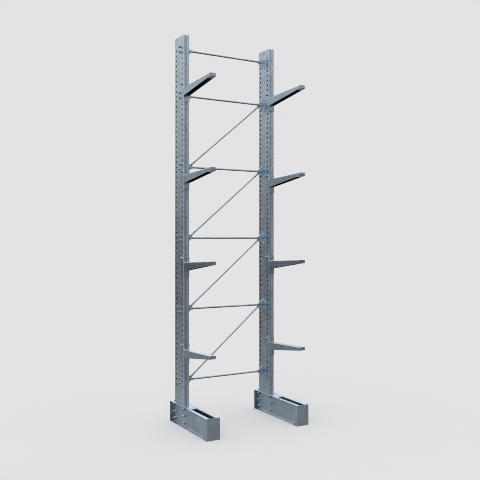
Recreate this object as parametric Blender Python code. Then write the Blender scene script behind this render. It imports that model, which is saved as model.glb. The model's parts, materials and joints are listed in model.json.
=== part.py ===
"""Single-sided cantilever rack: one bay, two perforated uprights, eight arms.

Metres, +Z up. The origin is on the floor at the centre of the footprint, the bay runs
along X and the arms point to -Y. Each arm hangs on one cross bolt and can be lifted
about it, so an arm's origin is on its bolt's axis.
"""

import math

import bmesh
import bpy

# --- driving dimensions (metres) ---------------------------------------------------
BAY = 0.980                  # upright centre to upright centre
HEIGHT = 3.800               # top of the uprights
POST_WIDTH = 0.060           # upright section, along X
POST_DEPTH = 0.200           # upright section, along Y
POST_SHEET = 0.003
POST_FOOT_GAP = 0.005        # the upright stops this far above the floor
BEAD_MOUTH = 0.022           # vertical bead rolled into the upright's front
BEAD_BOTTOM = 0.008
BEAD_DEPTH = 0.010
LIP = 0.024                  # rear lips of the open section

PITCH = 0.050                # perforation pitch
FIRST_ROW = 0.375
LAST_ROW = 3.675
HOLE = 0.0154                # side of a perforation
FRONT_HOLES_IN = 0.030       # front column, behind the front face
REAR_HOLES_IN = 0.030        # rear column, ahead of the rear face

BASE_LENGTH = 0.800
BASE_WIDTH = 0.140
BASE_HEIGHT = 0.200
BASE_REAR = 0.032            # base end behind the upright's rear face
WEB = 0.004
FLANGE = 0.005
CAP_SHEET = 0.004
CAP_RETURN = 0.050
ANCHOR_HOLE = 0.018
ANCHOR_FROM_END = 0.040
ANCHOR_OUTWARD = 0.004       # from the flange's middle
BASE_BOLT_ROWS = (0.047, 0.113, 0.179)
SHOE_REACH = 0.158           # foot box ahead of the upright's front face
SHOE_SHEET = 0.004
SHOE_TOP = 0.196
SHOE_BOLTS_AHEAD = 0.048     # front bolt column, ahead of the upright's front face

BRACE_LEVELS = (0.425, 1.125, 1.825, 2.525, 3.225, 3.675)
DIAGONAL_COUNT = 4
TUBE_RADIUS = 0.009
ROD_RADIUS = 0.006
SLEEVE_RADIUS = 0.009
TAB_THICK = 0.005
TAB_HALF = 0.013
TUBE_TAB_END = 0.029         # flat ends and swellings, in from the pin
TUBE_START = 0.052
ROD_TAB_END = 0.034
SLEEVE_START = 0.044
SLEEVE_END = 0.090
SLEEVE_TAPER = 0.002
PIN_HOLE_RADIUS = 0.0073

EAR_SHEET = 0.005
EAR_REACH = 0.068
EAR_HALF = 0.062
EAR_SHOULDER = 0.020         # reach of the straight part of the ear's edges
EAR_TIP_HALF = 0.014
BRACKET_FLANGE = 0.048       # along Y
PIN_OUT = 0.042              # brace pin, out from the upright's side
STUD_HALF_PITCH = 0.025
STUD_RADIUS = 0.006
STUD_FROM_EAR = 0.018
STUD_HOLE = 0.0134
STUD_HEAD = 0.003            # proud of the upright's side, within the flange
STUD_THREAD_END = 0.007

ARM_BOLTS_Z = (0.775, 1.625, 2.475, 3.325)
ARM_SHEET = 0.003
BEAM_WIDTH = 0.060
EAR_CLEARANCE = 0.0005       # ear to the upright's side
HEAD_WIDTH = POST_WIDTH + 2 * (EAR_CLEARANCE + ARM_SHEET)
ARM_TIP_FROM_FACE = 0.560
ROOT_TOP = -0.038            # heights relative to the arm's bolt
ROOT_BOTTOM = -0.118
TIP_TOP = -0.015
TIP_BOTTOM = -0.046
TIP_RETURN = 0.050
HEAD_TOP = 0.020
HEAD_BOTTOM = -0.178
HEAD_REAR = 0.020            # behind the bolt
HEAD_TOP_FRONT = -0.012      # where the ear's top edge starts to fall
HEAD_BOTTOM_REAR = -0.006    # where its lower edge starts to rise
PLATE_TOP = ROOT_TOP - 0.003 # bearing plate, a little under the beam's top
HEAD_CHAMFER = 0.008
HEAD_TAPER = 0.028
HEAD_GAP = 0.001             # head plate to the upright's front face

M14_RADIUS = 0.007
M14_HEX = 0.0127             # across corners / 2
M14_HEAD = 0.009
M14_NUT = 0.011
M12_HEX = 0.0104
M12_NUT = 0.010
M12_HEAD = 0.008
BASE_BOLT_END = 0.018        # thread out of the nut
ARM_BOLT_END = 0.004
BOLT_SLACK = 0.0015          # round a bolt in its hole
ARM_BOLT_SLACK = 0.001
GAP = 0.0003                 # between neighbouring pieces
PAST = 0.010                 # how far a cutter runs past what it cuts

# --- places worked out from them ----------------------------------------------------
BASE_REAR_Y = BASE_LENGTH / 2
BASE_FRONT_Y = -BASE_LENGTH / 2
REAR_Y = BASE_REAR_Y - BASE_REAR
FRONT_Y = REAR_Y - POST_DEPTH
MID_Y = (REAR_Y + FRONT_Y) / 2
FRONT_HOLES_Y = FRONT_Y + FRONT_HOLES_IN
REAR_HOLES_Y = REAR_Y - REAR_HOLES_IN
SHOE_BOLTS_Y = FRONT_Y - SHOE_BOLTS_AHEAD
STUD_Y = MID_Y - STUD_FROM_EAR
SIDES = (("left", -1), ("right", 1))

GALVANISED = ("galvanised_steel", (0.42, 0.47, 0.51), 0.42, 1.0)
ZINC_BOLT = ("zinc_plated_bolt", (0.50, 0.53, 0.56), 0.34, 1.0)
BRACE_STEEL = ("galvanised_tube", (0.38, 0.43, 0.48), 0.38, 1.0)


# --- shared tools --------------------------------------------------------------------
def clear_scene():
    for obj in list(bpy.data.objects):
        bpy.data.objects.remove(obj, do_unlink=True)


def material(spec):
    name, colour, roughness, metallic = spec
    mat = bpy.data.materials.get(name) or bpy.data.materials.new(name)
    mat.use_nodes = True
    shader = mat.node_tree.nodes["Principled BSDF"]
    shader.inputs["Base Color"].default_value = (*colour, 1.0)
    shader.inputs["Roughness"].default_value = roughness
    shader.inputs["Metallic"].default_value = metallic
    return mat


def mesh_from(bm, name):
    """Close the bmesh into a mesh with its faces pointing out."""
    bmesh.ops.recalc_face_normals(bm, faces=bm.faces[:])
    mesh = bpy.data.meshes.new(name)
    bm.to_mesh(mesh)
    bm.free()
    return mesh


def add_object(name, mesh, spec=None, location=(0, 0, 0), parent=None):
    obj = bpy.data.objects.new(name, mesh)
    bpy.context.scene.collection.objects.link(obj)
    obj.location = location
    obj.parent = parent
    if spec:
        mesh.materials.clear()
        mesh.materials.append(material(spec))
    return obj


def add_prism(bm, outline, axis, low, high):
    """Extrude a closed outline along an axis. The outline's two numbers are the other
    two axes in X, Y, Z order."""
    def point(a, b, along):
        return {"X": (along, a, b), "Y": (a, along, b), "Z": (a, b, along)}[axis]

    start = [bm.verts.new(point(a, b, low)) for a, b in outline]
    end = [bm.verts.new(point(a, b, high)) for a, b in outline]
    bm.faces.new(start)
    bm.faces.new(end)
    for i in range(len(outline)):
        j = (i + 1) % len(outline)
        bm.faces.new((start[i], start[j], end[j], end[i]))


def box_outline(a0, a1, b0, b1):
    return [(a0, b0), (a1, b0), (a1, b1), (a0, b1)]


def add_box(bm, x0, x1, y0, y1, z0, z1):
    add_prism(bm, box_outline(x0, x1, y0, y1), "Z", z0, z1)


def polygon_outline(a, b, radius, sides, turn=0.0):
    return [(a + radius * math.cos(turn + 2 * math.pi * i / sides),
             b + radius * math.sin(turn + 2 * math.pi * i / sides)) for i in range(sides)]


def add_rings(bm, rings):
    """Skin a list of equal rings of points and close both ends."""
    loops = [[bm.verts.new(p) for p in ring] for ring in rings]
    for one, two in zip(loops, loops[1:]):
        for i in range(len(one)):
            j = (i + 1) % len(one)
            bm.faces.new((one[i], one[j], two[j], two[i]))
    bm.faces.new(loops[0])
    bm.faces.new(loops[-1])


def add_hex_bar(bm, axis, centre, steps):
    """Stepped six-sided bar along an axis: steps are (place along the axis, radius)."""
    rings = []
    for along, radius in steps:
        ring = polygon_outline(centre[0], centre[1], radius, 6)
        if axis == "X":
            rings.append([(along, a, b) for a, b in ring])
        else:
            rings.append([(a, along, b) for a, b in ring])
    add_rings(bm, rings)


def union_of(name, builders):
    """Join overlapping solids into one closed mesh with exact unions."""
    pieces = []
    for index, build in enumerate(builders):
        bm = bmesh.new()
        build(bm)
        pieces.append(add_object(f"{name}_stock_{index}", mesh_from(bm, f"{name}_stock_{index}")))
    body = pieces[0]
    for piece in pieces[1:]:
        boolean(body, piece, "UNION")
    return baked(body, pieces, name)


def boolean(body, other, operation):
    modifier = body.modifiers.new(operation.lower(), "BOOLEAN")
    modifier.operation = operation
    modifier.solver = "EXACT"
    modifier.object = other


def baked(body, used, name):
    """Evaluate a body's modifiers into a new mesh and delete the stock objects."""
    bpy.context.view_layer.update()
    depsgraph = bpy.context.evaluated_depsgraph_get()
    mesh = bpy.data.meshes.new_from_object(body.evaluated_get(depsgraph))
    mesh.name = name
    for obj in used:
        bpy.data.objects.remove(obj, do_unlink=True)
    return mesh


def cut(mesh, name, build_cutter):
    """Subtract a cutter, which may be many separate prisms, from a mesh."""
    body = add_object(name + "_body", mesh)
    bm = bmesh.new()
    build_cutter(bm)
    cutter = add_object(name + "_cutter", mesh_from(bm, name + "_cutter"))
    boolean(body, cutter, "DIFFERENCE")
    return baked(body, [body, cutter], name)


def add_square_holes(bm, x0, x1, centres, side):
    for y, z in centres:
        add_prism(bm, box_outline(y - side / 2, y + side / 2, z - side / 2, z + side / 2), "X", x0, x1)


# --- uprights ------------------------------------------------------------------------
def upright_section():
    """Outline in X, Y of the rolled sheet, open at the rear and beaded at the front."""
    half = POST_WIDTH / 2
    sheet = POST_SHEET
    mouth, bottom = BEAD_MOUTH / 2, BEAD_BOTTOM / 2
    mitre = sheet * math.tan(math.atan2(BEAD_DEPTH, mouth - bottom) / 2)
    outer = [(bottom, FRONT_Y + BEAD_DEPTH), (mouth, FRONT_Y), (half, FRONT_Y),
             (half, REAR_Y), (half - LIP, REAR_Y)]
    inner = [(half - LIP, REAR_Y - sheet), (half - sheet, REAR_Y - sheet),
             (half - sheet, FRONT_Y + sheet), (mouth + mitre, FRONT_Y + sheet),
             (bottom + mitre, FRONT_Y + BEAD_DEPTH + sheet)]
    right = outer + inner
    left = [(-x, y) for x, y in reversed(right)]
    return right + left


def perforation_rows():
    count = round((LAST_ROW - FIRST_ROW) / PITCH) + 1
    return [FIRST_ROW + PITCH * i for i in range(count)]


def add_shoe(bm):
    """Foot box welded to the upright's front, open underneath and towards the upright."""
    half = POST_WIDTH / 2
    front = FRONT_Y - SHOE_REACH
    rear = FRONT_Y + POST_SHEET / 2
    sheet = SHOE_SHEET
    outline = [(-half, front), (half, front), (half, rear), (half - sheet, rear),
               (half - sheet, front + sheet), (-half + sheet, front + sheet),
               (-half + sheet, rear), (-half, rear)]
    add_prism(bm, outline, "Z", POST_FOOT_GAP, SHOE_TOP - sheet / 2)


def add_shoe_top(bm):
    half = POST_WIDTH / 2
    add_box(bm, -half, half, FRONT_Y - SHOE_REACH, FRONT_Y + POST_SHEET / 2,
            SHOE_TOP - SHOE_SHEET, SHOE_TOP)


def add_upright_cuts(bm):
    reach = POST_WIDTH
    columns = [(y, z) for y in (FRONT_HOLES_Y, REAR_HOLES_Y) for z in perforation_rows()]
    add_square_holes(bm, -reach, reach, columns, HOLE)
    base = [(y, z) for y in (SHOE_BOLTS_Y, REAR_HOLES_Y) for z in BASE_BOLT_ROWS]
    add_square_holes(bm, -reach, reach, base, HOLE)
    studs = [(STUD_Y, level + s * STUD_HALF_PITCH) for level in BRACE_LEVELS for s in (-1, 1)]
    add_square_holes(bm, -reach, reach, studs, STUD_HOLE)


def upright_mesh():
    def section(bm):
        add_prism(bm, upright_section(), "Z", POST_FOOT_GAP, HEIGHT)

    stock = union_of("upright", [section, add_shoe, add_shoe_top])
    return cut(stock, "upright", add_upright_cuts)


# --- bases ---------------------------------------------------------------------------
def channel_mesh(side):
    """C channel whose web stands against the upright's side (side is -1 or 1)."""
    web_in = POST_WIDTH / 2 + GAP
    edge = BASE_WIDTH / 2 - CAP_SHEET - GAP
    outline = [(web_in, 0), (edge, 0), (edge, FLANGE), (web_in + WEB, FLANGE),
               (web_in + WEB, BASE_HEIGHT - FLANGE), (edge, BASE_HEIGHT - FLANGE),
               (edge, BASE_HEIGHT), (web_in, BASE_HEIGHT)]
    end = CAP_SHEET + GAP
    bm = bmesh.new()
    add_prism(bm, [(side * x, z) for x, z in outline], "Y", BASE_FRONT_Y + end, BASE_REAR_Y - end)

    def cuts(cutter):
        for y in (SHOE_BOLTS_Y, REAR_HOLES_Y):
            for z in BASE_BOLT_ROWS:
                ring = polygon_outline(y, z, M14_RADIUS + BOLT_SLACK, 8, math.pi / 8)
                ends = (side * (web_in - PAST), side * (web_in + WEB + PAST))
                add_prism(cutter, ring, "X", *sorted(ends))
        anchor = polygon_outline(side * ((web_in + edge) / 2 + ANCHOR_OUTWARD),
                                 BASE_REAR_Y - ANCHOR_FROM_END, ANCHOR_HOLE / 2, 8)
        add_prism(cutter, anchor, "Z", -PAST, FLANGE + PAST)

    return cut(mesh_from(bm, "channel"), "channel", cuts)


def front_cap_mesh():
    half = BASE_WIDTH / 2
    front = BASE_FRONT_Y
    back = front + CAP_RETURN
    sheet = CAP_SHEET
    outline = [(-half, front), (half, front), (half, back), (half - sheet, back),
               (half - sheet, front + sheet), (-half + sheet, front + sheet),
               (-half + sheet, back), (-half, back)]
    bm = bmesh.new()
    add_prism(bm, outline, "Z", 0, BASE_HEIGHT)
    return mesh_from(bm, "front_cap")


def rear_plate_mesh():
    half = BASE_WIDTH / 2
    bm = bmesh.new()
    add_box(bm, -half, half, BASE_REAR_Y - CAP_SHEET, BASE_REAR_Y, 0, BASE_HEIGHT)
    return mesh_from(bm, "rear_plate")


def through_bolt_mesh(name, grip_half, thread_end):
    """Hex bolt along X with its nut on the -X side, centred on the origin."""
    face = grip_half + GAP
    nut_end = face + M14_NUT
    bm = bmesh.new()
    add_hex_bar(bm, "X", (0, 0), [
        (-nut_end - thread_end, M14_RADIUS), (-nut_end, M14_RADIUS),
        (-nut_end, M14_HEX), (-face, M14_HEX), (-face, M14_RADIUS),
        (face, M14_RADIUS), (face, M14_HEX), (face + M14_HEAD, M14_HEX)])
    return mesh_from(bm, name)


# --- bracing -------------------------------------------------------------------------
def bracket_mesh(side):
    """Brace bracket on the upright's inner face: flange, ear, two studs and a brace pin.
    Its origin is on that face at the ear's front side; side is the bay's direction."""
    def flange(bm):
        x0, x1 = sorted((side * GAP, side * (GAP + EAR_SHEET)))
        add_box(bm, x0, x1, EAR_SHEET - BRACKET_FLANGE, EAR_SHEET, -EAR_HALF, EAR_HALF)

    def ear(bm):
        outline = [(GAP, -EAR_HALF), (EAR_SHOULDER, -EAR_HALF), (EAR_REACH, -EAR_TIP_HALF),
                   (EAR_REACH, EAR_TIP_HALF), (EAR_SHOULDER, EAR_HALF), (GAP, EAR_HALF)]
        add_prism(bm, [(side * x, z) for x, z in outline], "Y", 0, EAR_SHEET)

    def stud(z):
        nut_face = -POST_WIDTH - GAP
        nut_end = nut_face - M12_NUT
        steps = [(STUD_HEAD, STUD_RADIUS), (nut_face, STUD_RADIUS),
                 (nut_face, M12_HEX), (nut_end, M12_HEX),
                 (nut_end, STUD_RADIUS), (nut_end - STUD_THREAD_END, STUD_RADIUS)]
        return lambda bm: add_hex_bar(bm, "X", (-STUD_FROM_EAR, z),
                                      [(side * x, radius) for x, radius in steps])

    def pin(bm):
        reach = 2 * GAP + TAB_THICK
        far = EAR_SHEET + reach
        steps = [(-reach - M12_HEAD, M12_HEX), (-reach, M12_HEX), (-reach, STUD_RADIUS),
                 (far, STUD_RADIUS), (far, M12_HEX), (far + M12_HEAD, M12_HEX)]
        add_hex_bar(bm, "Y", (side * PIN_OUT, 0), steps)

    builders = [flange, ear, stud(-STUD_HALF_PITCH), stud(STUD_HALF_PITCH), pin]
    return union_of("bracket", builders)


def flat_ring(along, half_thick, half_wide):
    """Ring of eight points around a flat bar that runs along X."""
    corners = [(-half_thick, -half_wide), (half_thick, -half_wide),
               (half_thick, half_wide), (-half_thick, half_wide)]
    ring = []
    for one, two in zip(corners, corners[1:] + corners[:1]):
        ring.append((along, *one))
        ring.append((along, (one[0] + two[0]) / 2, (one[1] + two[1]) / 2))
    return ring


def round_ring(along, radius):
    """Ring of eight points around a bar, in the same order as flat_ring."""
    return [(along, y, z) for y, z in polygon_outline(0, 0, radius, 8, -3 * math.pi / 4)]


def brace_mesh(name, span, profile):
    """Bar along X between two pins, flat at both ends, with a pin hole in each end.
    profile lists (distance in from the pin, radius), and 0 means the flat end."""
    half = span / 2
    flat = [flat_ring(d, TAB_THICK / 2, TAB_HALF) for d in (-TAB_HALF, profile[0][0])]
    rounds = [round_ring(d, radius) for d, radius in profile[1:]]
    rings = [[(x - half, y, z) for x, y, z in ring] for ring in flat + rounds]
    other = [[(-x, y, z) for x, y, z in ring] for ring in reversed(rings)]
    bm = bmesh.new()
    add_rings(bm, rings + other)
    mesh = mesh_from(bm, name)

    def cuts(cutter):
        for x in (-half, half):
            ring = polygon_outline(x, 0, PIN_HOLE_RADIUS, 8, math.pi / 8)
            add_prism(cutter, ring, "Y", -PAST, PAST)

    return cut(mesh, name, cuts)


# --- arms ----------------------------------------------------------------------------
# Side views (Y, Z) with the arm's bolt at the origin.
HEAD_FRONT = -FRONT_HOLES_IN - HEAD_GAP - ARM_SHEET
ARM_TIP = -FRONT_HOLES_IN - ARM_TIP_FROM_FACE


def head_outline():
    return [(HEAD_REAR, HEAD_TOP - HEAD_CHAMFER), (HEAD_REAR - HEAD_CHAMFER, HEAD_TOP),
            (HEAD_TOP_FRONT, HEAD_TOP), (HEAD_FRONT, PLATE_TOP), (HEAD_FRONT, HEAD_BOTTOM),
            (HEAD_BOTTOM_REAR, HEAD_BOTTOM), (HEAD_REAR, HEAD_BOTTOM + HEAD_TAPER)]


def beam_heights(y):
    """Top and bottom of the beam at y; it tapers from the head plate to the tip."""
    share = (HEAD_FRONT - y) / (HEAD_FRONT - ARM_TIP)
    return ROOT_TOP + (TIP_TOP - ROOT_TOP) * share, ROOT_BOTTOM + (TIP_BOTTOM - ROOT_BOTTOM) * share


def beam_outline():
    """Solid beam, its root end inside the head plate."""
    root = HEAD_FRONT + ARM_SHEET / 2
    root_top, root_bottom = beam_heights(root)
    return [(root, root_top), (ARM_TIP, TIP_TOP), (ARM_TIP, TIP_BOTTOM), (root, root_bottom)]


def beam_cavity():
    """Hollow of the beam, open underneath up to the tip's return."""
    end, step = ARM_TIP + ARM_SHEET, ARM_TIP + TIP_RETURN
    root_top, root_bottom = beam_heights(HEAD_FRONT)
    end_top, end_bottom = beam_heights(end)
    step_bottom = beam_heights(step)[1]
    return [(HEAD_FRONT, root_top - ARM_SHEET), (end, end_top - ARM_SHEET),
            (end, end_bottom + ARM_SHEET), (step, step_bottom + ARM_SHEET),
            (step, step_bottom - PAST), (HEAD_FRONT, root_bottom - PAST)]


def ear_space():
    """Space between the ears that straddle the upright. Above the head plate it runs on
    to the front, so that nothing but the ears stands there."""
    plate_rear = -FRONT_HOLES_IN - HEAD_GAP
    front = HEAD_FRONT - PAST
    rear = HEAD_REAR + PAST
    return [(plate_rear, HEAD_BOTTOM - PAST), (plate_rear, PLATE_TOP), (front, PLATE_TOP),
            (front, HEAD_TOP + PAST), (rear, HEAD_TOP + PAST), (rear, HEAD_BOTTOM - PAST)]


def head_mesh():
    """Ears and bearing plate in one folded piece."""
    bm = bmesh.new()
    add_prism(bm, head_outline(), "X", -HEAD_WIDTH / 2, HEAD_WIDTH / 2)
    inner = HEAD_WIDTH / 2 - ARM_SHEET

    def cuts(cutter):
        add_prism(cutter, ear_space(), "X", -inner, inner)

    return cut(mesh_from(bm, "head"), "head", cuts)


def beam_mesh():
    bm = bmesh.new()
    add_prism(bm, beam_outline(), "X", -BEAM_WIDTH / 2, BEAM_WIDTH / 2)
    inner = BEAM_WIDTH / 2 - ARM_SHEET

    def cuts(cutter):
        add_prism(cutter, beam_cavity(), "X", -inner, inner)

    return cut(mesh_from(bm, "beam"), "beam", cuts)


def arm_mesh():
    head, beam = add_object("head", head_mesh()), add_object("beam", beam_mesh())
    boolean(head, beam, "UNION")
    body = baked(head, [head, beam], "arm")

    def bolt_hole(cutter):
        ring = polygon_outline(0, 0, M14_RADIUS + ARM_BOLT_SLACK, 10)
        add_prism(cutter, ring, "X", -HEAD_WIDTH, HEAD_WIDTH)

    return cut(body, "arm", bolt_hole)


# --- assembly ------------------------------------------------------------------------
def build_uprights():
    mesh = upright_mesh()
    for name, side in SIDES:
        add_object(f"{name}_upright", mesh, GALVANISED, (side * BAY / 2, 0, 0))


def build_bases():
    channels = {edge: channel_mesh(direction) for edge, direction in SIDES}
    cap = front_cap_mesh()
    plate = rear_plate_mesh()
    bolt = through_bolt_mesh("base_bolt", POST_WIDTH / 2 + GAP + WEB, BASE_BOLT_END)
    for name, side in SIDES:
        x = side * BAY / 2
        for edge, mesh in channels.items():
            add_object(f"{name}_base_{edge}_channel", mesh, GALVANISED, (x, 0, 0))
        add_object(f"{name}_base_front_cap", cap, GALVANISED, (x, 0, 0))
        add_object(f"{name}_base_rear_plate", plate, GALVANISED, (x, 0, 0))
        for place, y in (("front", SHOE_BOLTS_Y), ("rear", REAR_HOLES_Y)):
            for number, z in enumerate(BASE_BOLT_ROWS, 1):
                add_object(f"{name}_base_{place}_bolt_{number}", bolt, ZINC_BOLT, (x, y, z))


def build_brackets():
    for name, side in SIDES:
        mesh = bracket_mesh(-side)
        x = side * (BAY / 2 - POST_WIDTH / 2)
        for number, z in enumerate(BRACE_LEVELS, 1):
            add_object(f"{name}_brace_bracket_{number}", mesh, GALVANISED, (x, MID_Y, z))


def build_braces():
    span = BAY - POST_WIDTH - 2 * PIN_OUT
    tab_ahead = MID_Y - GAP - TAB_THICK / 2
    tab_behind = MID_Y + EAR_SHEET + GAP + TAB_THICK / 2
    tube = [(TUBE_TAB_END, 0), (TUBE_START, TUBE_RADIUS)]
    level_mesh = brace_mesh("horizontal_brace", span, tube)
    for number, z in enumerate(BRACE_LEVELS, 1):
        add_object(f"horizontal_brace_{number}", level_mesh, BRACE_STEEL, (0, tab_ahead, z))

    rise = BRACE_LEVELS[1] - BRACE_LEVELS[0]
    sleeve = [(ROD_TAB_END, 0), (SLEEVE_START, SLEEVE_RADIUS), (SLEEVE_END, SLEEVE_RADIUS),
              (SLEEVE_END + SLEEVE_TAPER, ROD_RADIUS)]
    rod_mesh = brace_mesh("diagonal_brace", math.hypot(span, rise), sleeve)
    for number in range(DIAGONAL_COUNT):
        middle = (BRACE_LEVELS[number] + BRACE_LEVELS[number + 1]) / 2
        place = (0, tab_behind, middle)
        rod = add_object(f"diagonal_brace_{number + 1}", rod_mesh, BRACE_STEEL, place)
        rod.rotation_euler = (0, -math.atan2(rise, span), 0)


def build_arms():
    arm = arm_mesh()
    bolt = through_bolt_mesh("arm_bolt", HEAD_WIDTH / 2, ARM_BOLT_END)
    for name, side in SIDES:
        for number, z in enumerate(ARM_BOLTS_Z, 1):
            pivot = (side * BAY / 2, FRONT_HOLES_Y, z)
            add_object(f"{name}_arm_{number}", arm, GALVANISED, pivot)
            add_object(f"{name}_arm_bolt_{number}", bolt, ZINC_BOLT, pivot)


def main():
    clear_scene()
    build_uprights()
    build_bases()
    build_brackets()
    build_braces()
    build_arms()


main()
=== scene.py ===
"""Cantilever rack: rolled and folded sheet metal, fasteners, welds and galvanised
finishes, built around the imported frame. Metres, +Z up, arms towards -Y."""

import json
import math

import bmesh
import bpy
from mathutils import Matrix, Vector


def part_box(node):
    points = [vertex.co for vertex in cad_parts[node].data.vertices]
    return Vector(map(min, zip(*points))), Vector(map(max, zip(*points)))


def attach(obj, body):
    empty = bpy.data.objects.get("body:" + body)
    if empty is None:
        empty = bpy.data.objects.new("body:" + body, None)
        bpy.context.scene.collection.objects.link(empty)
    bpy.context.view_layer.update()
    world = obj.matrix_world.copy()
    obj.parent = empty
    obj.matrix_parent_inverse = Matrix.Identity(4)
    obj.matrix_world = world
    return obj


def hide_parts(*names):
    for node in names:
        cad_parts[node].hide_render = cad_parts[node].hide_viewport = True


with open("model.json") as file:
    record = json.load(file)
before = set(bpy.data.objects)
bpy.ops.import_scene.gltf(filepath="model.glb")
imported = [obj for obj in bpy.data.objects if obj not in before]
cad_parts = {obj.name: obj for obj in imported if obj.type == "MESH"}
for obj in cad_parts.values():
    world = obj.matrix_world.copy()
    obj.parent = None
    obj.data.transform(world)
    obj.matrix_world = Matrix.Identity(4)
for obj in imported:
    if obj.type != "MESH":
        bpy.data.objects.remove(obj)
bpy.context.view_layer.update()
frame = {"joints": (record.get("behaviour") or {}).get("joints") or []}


# --- places read from the frame -------------------------------------------------------
def middle_of(node):
    low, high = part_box(node)
    return (low + high) / 2


SIDES = (("left", -1), ("right", 1))       # uprights, and channels of a base
post_low, post_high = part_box("left_upright")
POST_WIDTH = post_high.x - post_low.x
POST_FOOT = post_low.z
POST_TOP = post_high.z
POST_X = (post_high.x + post_low.x) / -2
REAR_Y = post_high.y
FOOT_BOX_Y = post_low.y
PIVOTS = {joint["child"]: Vector(joint["pos_m"]) for joint in frame["joints"]}
PIVOT_Y = PIVOTS["left_arm_1"].y
LEVELS = [middle_of(f"left_brace_bracket_{n}").z for n in range(1, 7)]
REAR_BOLT_Y = middle_of("left_base_rear_bolt_1").y
FRONT_BOLT_Y = middle_of("left_base_front_bolt_1").y
BASE_BOLT_ROWS = [middle_of(f"left_base_rear_bolt_{n}").z for n in (1, 2, 3)]

# --- making -----------------------------------------------------------------------------
GAP = 0.0003                 # between neighbouring pieces
PAST = 0.010                 # how far a cutting tool reaches past what it cuts
PLATE_BEND = 0.002           # radius inside the bends of thin plates
WELD_BITE = 0.001            # how far a weld bead's middle is set off its corner

# --- uprights ---------------------------------------------------------------------------
FRONT_HOLES_IN = 0.030       # front perforations, behind the upright's front face
FRONT_Y = PIVOT_Y - FRONT_HOLES_IN
MID_Y = (FRONT_Y + REAR_Y) / 2
POST_SHEET = 0.003
POST_BEND = 0.0015           # radius inside the upright's bends
BEAD_MOUTH = 0.022           # vertical bead down the front
BEAD_BOTTOM = 0.008
BEAD_DEPTH = 0.010
LIP = 0.024
PITCH = 0.050
FIRST_ROW = 0.375
LAST_ROW = 3.675
HOLE_RADIUS = 0.0100
SMALL_HOLE_RADIUS = 0.0030
BEAD_HOLE_RADIUS = 0.0028
PUNCHED_EDGE = 0.0007        # drawn-in edge of a punched hole

# --- bases ------------------------------------------------------------------------------
WEB = 0.004
FLANGE = 0.005
CHANNEL_BEND = (0.007, 0.006)        # radius outside and inside where web meets flange
TOE = (0.0008, 0.0022)               # radius of a flange's toe, outside and inside
CAP_SHEET = 0.004
FOOT_BOX_SHEET = 0.004
FOOT_BOX_TOP = 0.196
LID_CORNER = 0.0015
END_PLATE_CORNER = 0.002
FOOT_WELD = 0.0028           # radii of the weld beads
END_WELD = 0.0024
FLANGE_WELD = 0.0022
WELD_CLEAR = 0.020           # from an end weld's ends to the base's top and bottom
FLANGE_WELD_SPAN = (0.008, 0.032)    # along a flange, from the web's weld
BASE_THREAD_OUT = 0.020      # thread beyond the nuts
ANCHOR_RADIUS = 0.009
ANCHOR_FROM_END = 0.040
BOLT_HOLE_RADIUS = 0.0082

# --- bracing ----------------------------------------------------------------------------
EAR_SHEET = 0.005
EAR_REACH = 0.068
EAR_HALF = 0.062
EAR_SHOULDER = 0.020
EAR_TIP_HALF = 0.014
BRACKET_FLANGE = 0.048
PIN_OUT = 0.042
STUD_BEHIND = 0.018          # studs, ahead of the ear's front side
STUD_HALF_PITCH = 0.025
STUD_HOLE_RADIUS = 0.0065
STUD_THREAD_OUT = 0.006
PIN_THREAD_OUT = 0.003
TAB_THICK = 0.005
TAB_HALF = 0.013
TUBE_RADIUS = 0.009
TUBE_TAB = (0.024, 0.060)            # from the pin: flat up to here, round from there
SLEEVE_TAB = (0.026, 0.050)
SLEEVE_END = 0.092
CRIMPS = (0.062, 0.078)              # where the sleeve's two crimps start
CRIMP_DEPTH = 0.0012
ROD_IN_SLEEVE = 0.012
ROD_RADIUS = 0.0075
RELIEF = (-0.017, 0.010, 0.0080)     # hole at the fold: from, to along Y, half height
RELIEF_REACH = 0.012         # into the ear, from the upright's face
RELIEF_CORNER = 0.0055

# --- arms, relative to their bolt -------------------------------------------------------
ARM_SHEET = 0.003
ARM_BEND = 0.002
HEAD_BEND = 0.004
BEAM_WIDTH = 0.060
HEAD_GAP = 0.001
ROOT_TOP = -0.038
PLATE_TOP = -0.041           # bearing plate, a little under the beam's top
ROOT_BOTTOM = -0.118
TIP_TOP = -0.015
TIP_BOTTOM = -0.046
TIP_RETURN = 0.050
HEAD_TOP_FRONT = -0.012      # where the ears' top edge starts to slope to the plate
HEAD_BOTTOM_REAR = -0.006    # where the ears' bottom edge starts to rise
HEAD_TAPER = 0.028           # rise of the ears' bottom edge
ARM_BOLT_SLACK = 0.001
ARM_WELD = 0.0026
ARM_THREAD_OUT = 0.004

# --- fasteners: thread radius, hexagon half width across corners, head and nut heights --
M14 = {"radius": 0.0070, "hex": 0.0127, "head": 0.0088, "nut": 0.0110, "washer": 0.0025}
M12 = {"radius": 0.0060, "hex": 0.0104, "head": 0.0075, "nut": 0.0100, "washer": 0.0022,
       "dome": 0.0045}
THREAD_PITCH = 0.0019
THREAD_DEPTH = 0.0009
THREAD_STEPS = 4             # rings to a turn of thread
HEX_FACE = 0.97              # round face of a nut, over its width across flats
WASHER_WIDTH = 1.22          # over the hexagon's width across corners
DOME = ((0, 1), (0.25, 1), (0.6, 0.86), (0.85, 0.62), (1, 0.25))     # shares: height, radius
ROUND = 24                   # sides of a turned shape


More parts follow.
